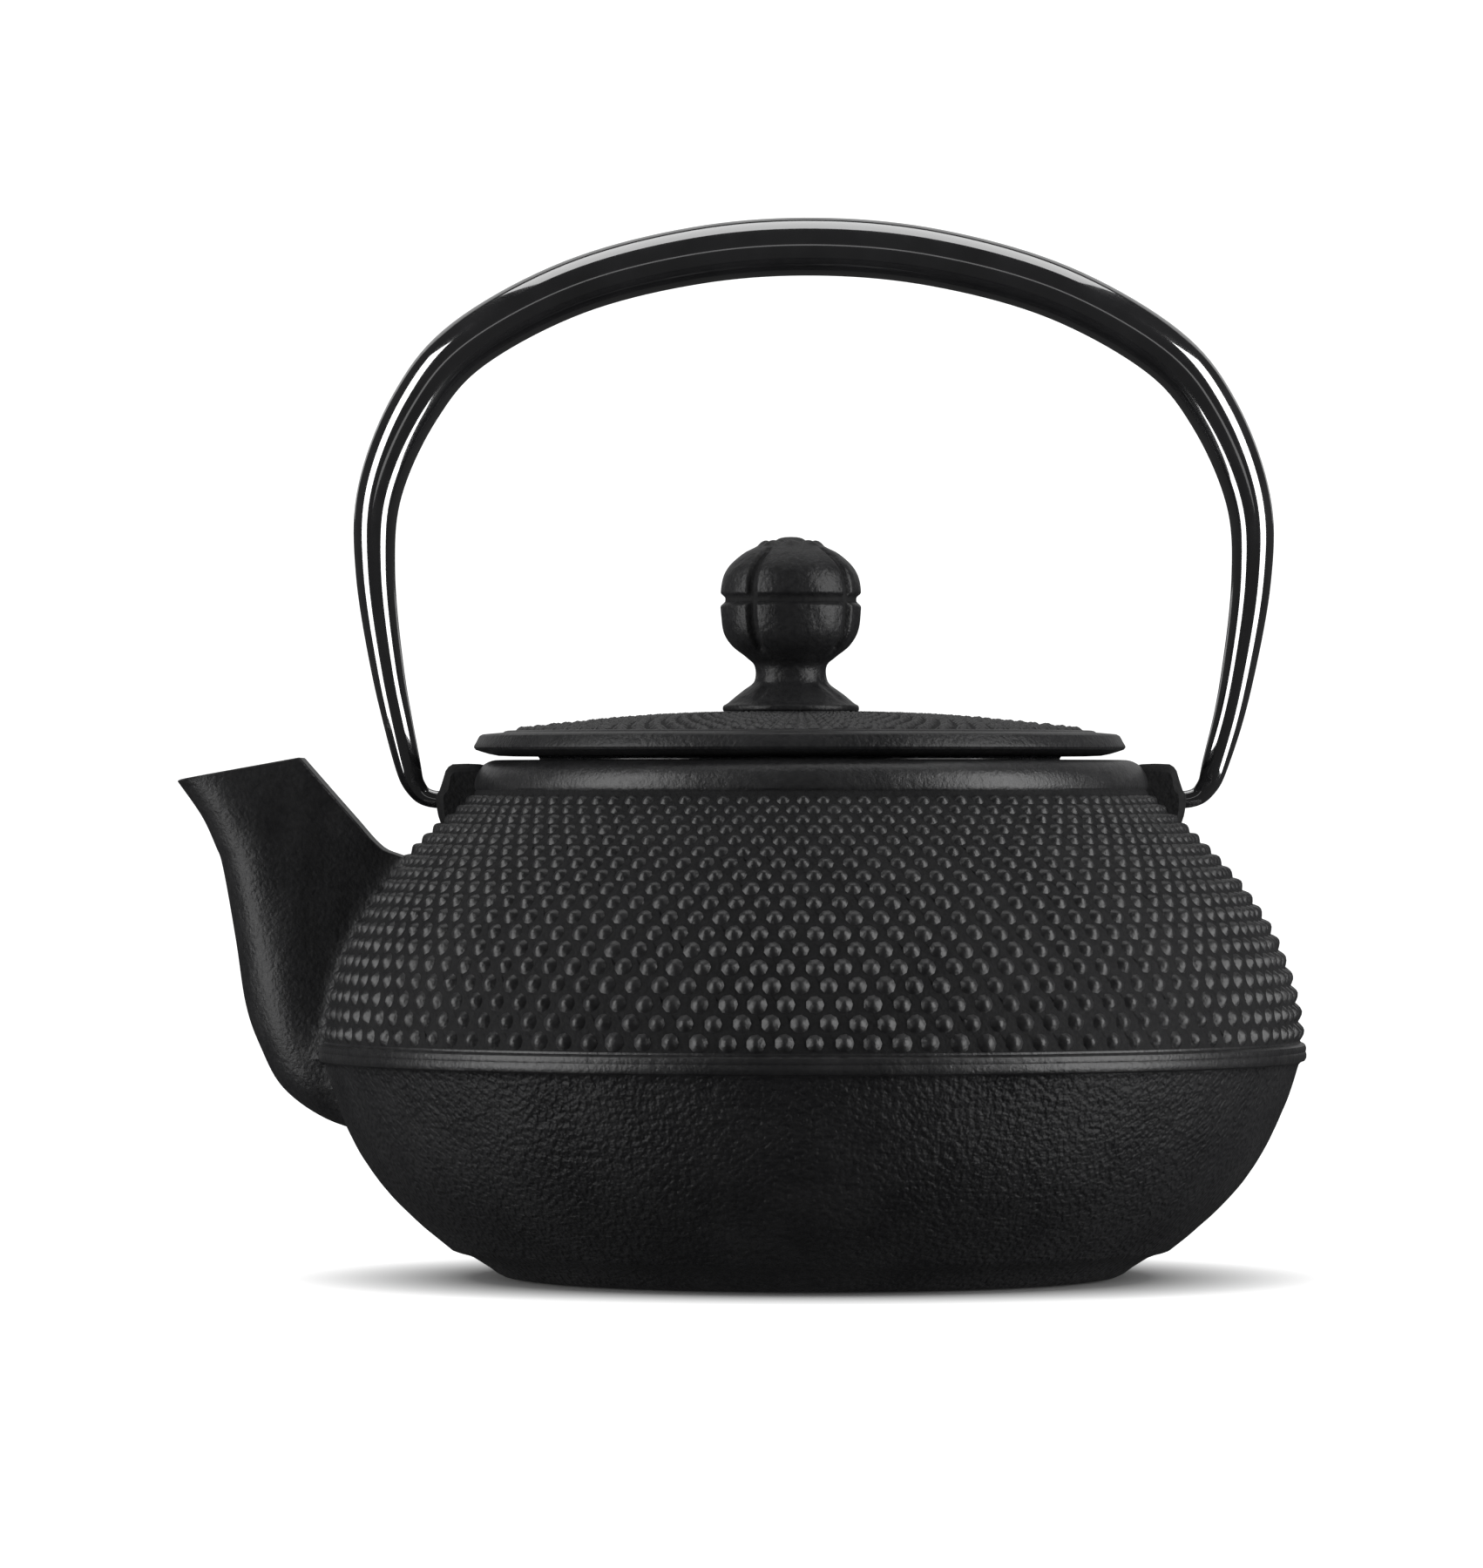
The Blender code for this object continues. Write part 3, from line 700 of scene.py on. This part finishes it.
def knob_ring(radius, z, angle, apart):
    """One ring of the knob with its channels, swollen quarters and small rosette."""
    across = np.abs(np.sin(apart) * radius)
    across = np.where(np.abs(apart) < 1.2, across, 9).min(0)
    ball = within(z, 95.8, 1.2, 112.3, 0.6)
    foot = 0.35 * within(z, 88.4, 0.5, 92.5, 1.5)
    level = channel(np.full_like(across, (z - CHANNEL_Z) * 1.05)) * (z > BALL_BOTTOM_Z)
    deep = np.maximum(channel(across), level)
    pillow = 0.28 * np.clip(1 - (across - 5.2) ** 2 / 27, 0, 1) * ball
    cut = CHANNEL_DEPTH * (deep * ball + channel(across) * foot)
    petals = np.clip(1 - ((radius - ROSETTE_R) / 1.15) ** 2, 0, 1) * np.abs(np.cos(4 * angle))
    ring = circle(radius - cut + pillow * 0.8, z, KNOB_COLUMNS, KNOB_X)
    ring[:, 2] += ROSETTE_HEIGHT * petals * (z > 112)
    ring[:, :2] += (0.03 * smooth_noise(ring, 2.5, 31) / max(radius, 3))[:, None] * ring[:, :2]
    return ring


def paint_channel_shade(mesh):
    """Gives the faces at the bottom of the ball's channels the second, darker material, as painted shade
    in the channels.
    """
    for face in mesh.polygons:
        x, y, z = np.array(face.center) / MM - (KNOB_X, 0, 0)
        apart = off_channels(math.atan2(y, x))
        beside = np.abs(np.sin(apart) * math.hypot(x, y))[np.abs(apart) < 1.2]
        in_channel = min(beside.min(initial=9), abs(z - CHANNEL_Z)) < 0.45
        face.material_index = int(in_channel and BALL_BOTTOM_Z < z < 111.5)


def make_knob(iron, shaded_ground):
    """The ball knob on its neck, bored for the stud."""
    angle = TURN * np.arange(KNOB_COLUMNS) / KNOB_COLUMNS
    apart = off_channels(angle[:, None]).T
    skin = Skin()
    rings = []
    for radius, z in even(smooth_rows(KNOB_OUTLINE, 8), 0.22):
        rings.append(skin.add(knob_ring(radius, z, angle, apart)))
    skin.cap(rings[0], (KNOB_X, 0, KNOB_TOP_Z))
    for upper, lower in zip(rings, rings[1:]):
        skin.strip(upper, lower)
    skin.cap(rings[-1], (KNOB_X, 0, KNOB_FOOT_Z), flip=True)
    knob = skin.object("knob", [iron, shaded_ground], 60)
    # The channel bottoms get the darker finish as painted shade
    paint_channel_shade(knob.data)
    tool = round_tool("bore", STUD_HOLE_R, (KNOB_X, 0, 80), (KNOB_X, 0, 99), [iron])
    combine(knob, tool, "DIFFERENCE")
    finish_mesh(knob.data, 60)
    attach(knob, "lid")
    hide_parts("lid_knob")


def small_turned(name, outline, columns, x, material, body, node, roughness=0.0, seed=5):
    """A small turned piece whose outline starts and ends on its axis, or a ring if it doesn't."""
    skin = Skin()
    if outline[0][0] == 0:
        top = skin.add(circle(*outline[1], columns, x))
        skin.cap(top, (x, 0, outline[0][1]))
        last = turned(skin, outline[2:-1], columns, 0, x, top, roughness, seed)
        skin.cap(last, (x, 0, outline[-1][1]), flip=True)
    else:
        top = skin.add(circle(*outline[0], columns, x))
        last = turned(skin, outline[1:], columns, 0, x, top, roughness, seed)
        skin.strip(last, top)
    obj = skin.object(name, [material], 35)
    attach(obj, body)
    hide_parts(node)


def make_lid_fixings(steel):
    """The washer under the lid and the riveted stud that holds the knob."""
    washer = [
        (4.9, 83.7), (5.15, 83.6), (5.2, 83.4), (5.2, 83.1), (5.05, 82.93), (4.8, 82.9),
        (2.3, 82.9), (2.05, 83.0), (2.0, 83.2), (2.0, 83.7),
    ]
    small_turned("washer", washer, 64, KNOB_X, steel, "lid", "stud_washer", 0.02)
    head = arc((0, 83.2), 3.6, -11, -90, 10) * [1, 0.62] + [0, 83.2 * 0.38]
    stud = [
        (0, 98.7), (1.3, 98.7), (1.7, 98.3), (1.7, 82.65), (3.3, 82.6), (3.5, 82.55),
        *head[:-1], (0, float(head[-1][1])),
    ]
    small_turned("stud", stud, 48, KNOB_X, steel, "lid", "knob_stud", 0.05, 6)


# ---------------------------------------------------------------- strainer

BASKET_R = 35.8
WIRE_R = 0.19
WALL_WIRES, WALL_HOOPS = 132, 20
WALL_TOP, WALL_BOTTOM = 77.4, 44.3
FLOOR_PITCH, FLOOR_Z = 1.7, 43.55


def wires(skin, paths, radius, closed):
    """Thin four-sided wires along paths of points that share a normal direction per point."""
    for points, normals in paths:
        run = np.roll(points, -1, 0) - np.roll(points, 1, 0)
        if not closed:
            run[0], run[-1] = points[1] - points[0], points[-1] - points[-2]
        run /= np.linalg.norm(run, axis=1)[:, None]
        side = np.cross(run, normals)
        rows = []
        for a, b in ((1, 0), (0, 1), (-1, 0), (0, -1)):
            rows.append(skin.add(points + radius * (a * normals + b * side)))
        grid = np.array(rows)
        count = len(points)
        for i in range(count if closed else count - 1):
            j = (i + 1) % count
            for k in range(4):
                m = (k + 1) % 4
                skin.face((grid[k, i], grid[k, j], grid[m, j], grid[m, i]))
        if not closed:
            skin.face(grid[::-1, 0])
            skin.face(grid[:, -1])


def woven_wall(steel):
    """The basket's wall: upright wires and hoops that pass over and under each other."""
    skin = Skin()
    heights = np.linspace(WALL_TOP, WALL_BOTTOM, WALL_HOOPS + 2)[1:-1]
    uprights = []
    for i in range(WALL_WIRES):
        angle = TURN * i / WALL_WIRES
        z = np.concatenate([[WALL_TOP], heights, [WALL_BOTTOM]])
        weave = WIRE_R * np.where((np.arange(len(z)) + i) % 2, 1.0, -1.0)
        radius = BASKET_R + weave
        out = np.array([math.cos(angle), math.sin(angle), 0])
        points = np.outer(radius, out) + np.outer(z, [0, 0, 1])
        uprights.append((points, np.tile(out, (len(z), 1))))
    wires(skin, uprights, WIRE_R, False)
    hoops = []
    for j, z in enumerate(heights):
        angle = TURN * np.arange(WALL_WIRES) / WALL_WIRES
        weave = WIRE_R * np.where((np.arange(WALL_WIRES) + j + 1) % 2, -1.0, 1.0)
        out = np.stack([np.cos(angle), np.sin(angle), 0 * angle], 1)
        points = out * (BASKET_R + weave)[:, None] + [0, 0, z]
        hoops.append((points, out))
    wires(skin, hoops, WIRE_R, True)
    return skin.object("basket_wall", [steel], 60)


def woven_floor(steel):
    """The basket's floor: straight wires both ways that pass over and under each other."""
    skin = Skin()
    radius, pitch = BASKET_R, FLOOR_PITCH
    count = int(radius // pitch)
    paths = []
    up = np.array([0, 0, 1.0])
    for crossing in (False, True):
        for i in range(-count, count + 1):
            offset = i * pitch
            half = int(math.sqrt(max(radius**2 - offset**2, 0)) // pitch)
            steps = np.arange(-half, half + 1)
            if len(steps) < 2:
                continue
            sign = 1.0 if crossing else -1.0
            weave = WIRE_R * sign * np.where((steps + i) % 2, 1.0, -1.0)
            run, side = steps * pitch, np.full(len(steps), offset)
            flat = (side, run) if crossing else (run, side)
            points = np.stack([*flat, FLOOR_Z + weave], 1)
            paths.append((points, np.tile(up, (len(steps), 1))))
    wires(skin, paths, WIRE_R, False)
    return skin.object("basket_floor", [steel], 60)


def make_strainer(steel):
    """The tea strainer: flange, woven wall and floor, and the ring that binds them."""
    rim = [
        (41.0, 78.2), (41.5, 78.12), (41.75, 77.9), (41.8, 77.7), (41.7, 77.45), (41.4, 77.3),
        (40.9, 77.3), (40.7, 77.5), (38.2, 77.5), (37.5, 77.4), (37.2, 77.1), (37.15, 76.0),
        (37.1, 74.6), (37.2, 74.2), (37.15, 73.2), (37.0, 72.85), (36.7, 72.8), (36.45, 73.0),
        (36.4, 74.4), (36.4, 77.0), (36.8, 77.75), (37.6, 78.0), (39.8, 78.0), (40.4, 78.15),
    ]
    small_turned("strainer_flange", rim, 144, 0, steel, "strainer", "strainer_rim")
    wall = woven_wall(steel)
    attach(wall, "strainer")
    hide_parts("strainer_wall")
    floor = woven_floor(steel)
    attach(floor, "strainer")
    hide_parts("strainer_floor")
    ring = [
        (36.9, 46.6), (37.1, 46.5), (37.2, 46.2), (37.2, 43.2), (37.1, 42.8), (36.7, 42.45),
        (36.2, 42.4), (34.4, 42.4), (34.0, 42.5), (33.85, 42.65), (34.0, 42.85), (34.4, 42.9),
        (36.1, 42.9), (36.4, 43.2), (36.4, 46.2), (36.5, 46.5),
    ]
    small_turned("basket_ring", ring, 144, 0, steel, "strainer", "strainer_foot_ring")


# ---------------------------------------------------------------- materials

class Finish:
    """A node material on one Principled shader, with short calls for its patterns."""

    def __init__(self, name, colour, roughness, metallic=0.0, specular=0.5):
        self.material = bpy.data.materials.new(name)
        self.material.use_nodes = True
        self.tree = self.material.node_tree
        self.shader = self.tree.nodes["Principled BSDF"]
        self.set("Base Color", (*colour, 1))
        self.set("Roughness", roughness)
        self.set("Metallic", metallic)
        self.set("Specular IOR Level", specular)
        self.place = self.node("ShaderNodeTexCoord").outputs["Object"]

    def set(self, socket, value):
        self.shader.inputs[socket].default_value = value

    def node(self, kind, **values):
        made = self.tree.nodes.new(kind)
        for key, value in values.items():
            setattr(made, key, value)
        return made

    def link(self, source, target):
        self.tree.links.new(source, target)

    def noise(self, size_mm, detail, roughness):
        """A cloudy pattern with features of about that size."""
        made = self.node("ShaderNodeTexNoise")
        made.inputs["Scale"].default_value = 1000 / size_mm
        made.inputs["Detail"].default_value = detail
        made.inputs["Roughness"].default_value = roughness
        self.link(self.place, made.inputs["Vector"])
        return made.outputs["Fac"]

    def remap(self, source, low, high, to_low, to_high):
        made = self.node("ShaderNodeMapRange", clamp=True)
        for key, value in (("From Min", low), ("From Max", high), ("To Min", to_low), ("To Max", to_high)):
            made.inputs[key].default_value = value
        self.link(source, made.inputs["Value"])
        return made.outputs["Result"]

    def math(self, operation, a, b):
        made = self.node("ShaderNodeMath", operation=operation)
        for socket, value in zip(made.inputs, (a, b)):
            if isinstance(value, (int, float)):
                socket.default_value = value
            else:
                self.link(value, socket)
        return made.outputs[0]

    def colours(self, source, *stops):
        made = self.node("ShaderNodeValToRGB")
        ramp = made.color_ramp
        while len(ramp.elements) < len(stops):
            ramp.elements.new(0.5)
        for element, (position, colour) in zip(ramp.elements, stops):
            element.position = position
            element.color = (*colour, 1)
        self.link(source, made.inputs["Fac"])
        return made.outputs["Color"]

    def bump(self, height, depth_mm, after=None):
        made = self.node("ShaderNodeBump")
        made.inputs["Strength"].default_value = 1.0
        made.inputs["Distance"].default_value = depth_mm * MM
        self.link(height, made.inputs["Height"])
        if after is not None:
            self.link(after, made.inputs["Normal"])
        return made.outputs["Normal"]


# Darkest and lightest colour of the iron
IRON_TONES = np.array([(0.007, 0.007, 0.0075), (0.013, 0.013, 0.0135)])


def cast_iron(name, grain, depth_mm, roughness, specular, tone=1.0):
    """Black cast iron: grain is how wide the sand's grain is in mm, and depth_mm how deep it lies."""
    f = Finish(name, (0.01, 0.01, 0.0105), roughness[0], 0.0, specular)
    cloud = f.noise(14, 4, 0.6)
    fine = f.noise(0.5, 3, 0.6)
    low, high = tone * IRON_TONES
    speckle = f.noise(grain, 1, 0.4)
    tint = f.math("ADD", f.math("MULTIPLY", cloud, 0.6), f.math("MULTIPLY", speckle, 0.4))
    f.link(f.colours(tint, (0.38, low), (0.62, high)), f.shader.inputs["Base Color"])
    mixed = f.math("ADD", f.math("MULTIPLY", cloud, 0.5), f.math("MULTIPLY", fine, 0.5))
    f.link(f.remap(mixed, 0.3, 0.7, *roughness), f.shader.inputs["Roughness"])
    normal = f.bump(f.noise(grain, 1, 0.4), depth_mm)
    normal = f.bump(fine, 0.09, after=normal)
    f.link(normal, f.shader.inputs["Normal"])
    return f.material


def enamel_finish():
    """Dark speckled enamel with a soft shine."""
    f = Finish("dark_enamel", (0.02, 0.021, 0.023), 0.25, 0.0, 0.5)
    speck = f.noise(2.2, 4, 0.6)
    f.link(f.colours(speck, (0.35, (0.014, 0.0145, 0.016)), (0.7, (0.032, 0.033, 0.036))),
           f.shader.inputs["Base Color"])
    f.link(f.remap(speck, 0.3, 0.7, 0.18, 0.34), f.shader.inputs["Roughness"])
    f.link(f.bump(f.noise(5, 3, 0.5), 0.12), f.shader.inputs["Normal"])
    return f.material


def lacquer_finish():
    """Gloss black lacquer under a clear coat, a little worn."""
    f = Finish("gloss_black_lacquer", (0.006, 0.006, 0.0065), 0.12, 0.0, 0.5)
    f.set("Coat Weight", 1.0)
    f.set("Coat Roughness", 0.05)
    f.set("Coat IOR", 2.6)
    wear = f.noise(9, 5, 0.6)
    f.link(f.colours(wear, (0.3, (0.004, 0.004, 0.0045)), (0.75, (0.010, 0.010, 0.011))),
           f.shader.inputs["Base Color"])
    f.link(f.remap(wear, 0.3, 0.75, 0.10, 0.22), f.shader.inputs["Roughness"])
    f.link(f.bump(f.noise(4, 2, 0.5), 0.03), f.shader.inputs["Normal"])
    return f.material


def steel_finish(name, colour, rough_low, rough_high, grain_mm):
    """Rubbed steel whose colour and roughness vary, with a fine grain of that depth."""
    f = Finish(name, colour, rough_low, 1.0, 0.5)
    rub = f.noise(3, 5, 0.65)
    dark = tuple(0.82 * c for c in colour)
    f.link(f.colours(rub, (0.3, dark), (0.7, colour)), f.shader.inputs["Base Color"])
    f.link(f.remap(rub, 0.3, 0.7, rough_low, rough_high), f.shader.inputs["Roughness"])
    f.link(f.bump(f.noise(0.5, 3, 0.6), grain_mm), f.shader.inputs["Normal"])
    return f.material


# ---------------------------------------------------------------- stage

# The photo was taken level, from far away
CAMERA = (-10.7, -1434.0, 75.9)
LENS_MM, SENSOR_MM = 213.6, 36.0


def add_camera():
    """The photo's view, looking level along +Y."""
    data = bpy.data.cameras.new("camera")
    data.sensor_fit = "VERTICAL"
    data.sensor_height = SENSOR_MM
    data.lens = LENS_MM
    data.clip_end = 100
    camera = bpy.data.objects.new("camera", data)
    camera.location = Vector(CAMERA) * MM
    camera.rotation_euler = (math.pi / 2, 0, 0)
    bpy.context.scene.collection.objects.link(camera)
    bpy.context.scene.camera = camera


# Lamps: name, place and aim in metres, width and height in metres, power in watts
SOFTBOXES = [
    ("left_softbox", (-0.90, -0.34, 0.22), (0, 0, 0.12), (0.60, 1.40), 16.5),
    ("right_softbox", (0.89, -0.36, 0.22), (0, 0, 0.12), (0.66, 1.40), 20.5),
    ("top_softbox", (0.0, 0.24, 1.15), (0, 0, 0.08), (1.1, 0.9), 6.0),
    ("back_softbox", (0.0, 1.15, 0.60), (0, 0, 0.10), (1.6, 0.9), 2.0),
    ("front_strip", (0.0, -1.60, 0.20), (0, 0, 0.14), (1.2, 0.12), 0.25),
]
# The world's strength: what lights the object, and what the camera sees behind it
FILL, BACKDROP = 0.040, 1.2
# The table's radius in metres, its grey, and how its glow grows between two distances from the pot; the
# dim glow close to the pot is a painted shadow and the glow beyond it is painted light
FLOOR_R, FLOOR_GREY = 1.2, 0.29
SHADOW_GLOW_FROM_TO, SHADOW_GLOW = (0.052, 0.084), (0.02, 1.0)


def softbox(name, place, aim, size, power):
    """A rectangular area lamp facing a point."""
    data = bpy.data.lights.new(name, "AREA")
    data.shape = "RECTANGLE"
    data.size, data.size_y = size
    data.energy = power
    lamp = bpy.data.objects.new(name, data)
    lamp.location = place
    lamp.rotation_euler = (Vector(aim) - Vector(place)).to_track_quat("-Z", "Y").to_euler()
    lamp.visible_camera = False
    bpy.context.scene.collection.objects.link(lamp)


def add_floor():
    """A white table that glows brighter away from the pot, so the dim patch round the pot is a painted
    shadow and the glow beyond it is painted light. It stays out of the pot's reflections.
    """
    mesh = bpy.data.meshes.new("floor")
    angle = TURN * np.arange(64) / 64
    rim = FLOOR_R * np.stack([np.cos(angle), np.sin(angle), 0 * angle], 1)
    mesh.from_pydata(rim.tolist(), [], [list(range(64))])
    f = Finish("pale_floor_painted_shadow", [FLOOR_GREY] * 3, 0.9, 0.0, 0.0)
    away = f.node("ShaderNodeVectorMath", operation="LENGTH")
    f.link(f.place, away.inputs[0])
    f.set("Emission Color", (1, 1, 1, 1))
    # Emission rising with distance from the pot: a painted contact shadow near the pot, painted white
    # light beyond it
    shadow_glow = f.remap(away.outputs["Value"], *SHADOW_GLOW_FROM_TO, *SHADOW_GLOW)
    f.link(shadow_glow, f.shader.inputs["Emission Strength"])
    mesh.materials.append(f.material)
    floor = bpy.data.objects.new("floor", mesh)
    floor.location.z = -0.0001
    floor.visible_glossy = False
    floor.visible_diffuse = False
    floor.visible_shadow = False
    bpy.context.scene.collection.objects.link(floor)


def add_world():
    """White behind the object, and a dim grey room all around it."""
    world = bpy.data.worlds.new("studio")
    world.use_nodes = True
    tree = world.node_tree
    background = tree.nodes["Background"]
    path = tree.nodes.new("ShaderNodeLightPath")
    pick = tree.nodes.new("ShaderNodeMapRange")
    pick.inputs["To Min"].default_value = FILL
    pick.inputs["To Max"].default_value = BACKDROP
    tree.links.new(path.outputs["Is Camera Ray"], pick.inputs["Value"])
    tree.links.new(pick.outputs["Result"], background.inputs["Strength"])
    background.inputs["Color"].default_value = (1, 1, 1, 1)
    bpy.context.scene.world = world
    bpy.context.scene.view_settings.view_transform = "Standard"


def main():
    # Cast iron finishes: grain and its depth in mm, lowest and highest roughness, specular, tone
    cast = cast_iron("cast_iron", 0.7, 0.12, (0.32, 0.46), 0.50)
    sanded = cast_iron("cast_iron_sanded", 0.8, 0.10, (0.32, 0.46), 0.18, 1.1)
    burnished = cast_iron("cast_iron_burnished", 1.2, 0.08, (0.32, 0.44), 0.34)
    pebbled = cast_iron("cast_iron_pebbled", 0.85, 0.5, (0.40, 0.54), 0.11, 1.1)
    # Ground finish: tone 0.7 is painted shade in recesses, under the collar, on the ears and in the knob's
    # channels; its high roughness and low specular are its own finish
    shaded_ground = cast_iron("cast_iron_ground_painted_shade", 0.8, 0.10, (0.70, 0.85), 0.13, 0.7)
    enamel = enamel_finish()
    plain_steel = steel_finish("plain_steel", (0.55, 0.54, 0.52), 0.25, 0.42, 0.02)
    stainless = steel_finish("stainless_steel", (0.66, 0.66, 0.64), 0.16, 0.30, 0.01)
    make_pot(cast, enamel, pebbled, shaded_ground, burnished, sanded)
    make_bail(lacquer_finish())
    make_lid(burnished, enamel, shaded_ground, sanded)
    make_knob(sanded, shaded_ground)
    make_lid_fixings(plain_steel)
    make_strainer(stainless)
    add_floor()
    add_world()
    for lamp in SOFTBOXES:
        softbox(*lamp)
    add_camera()


main()
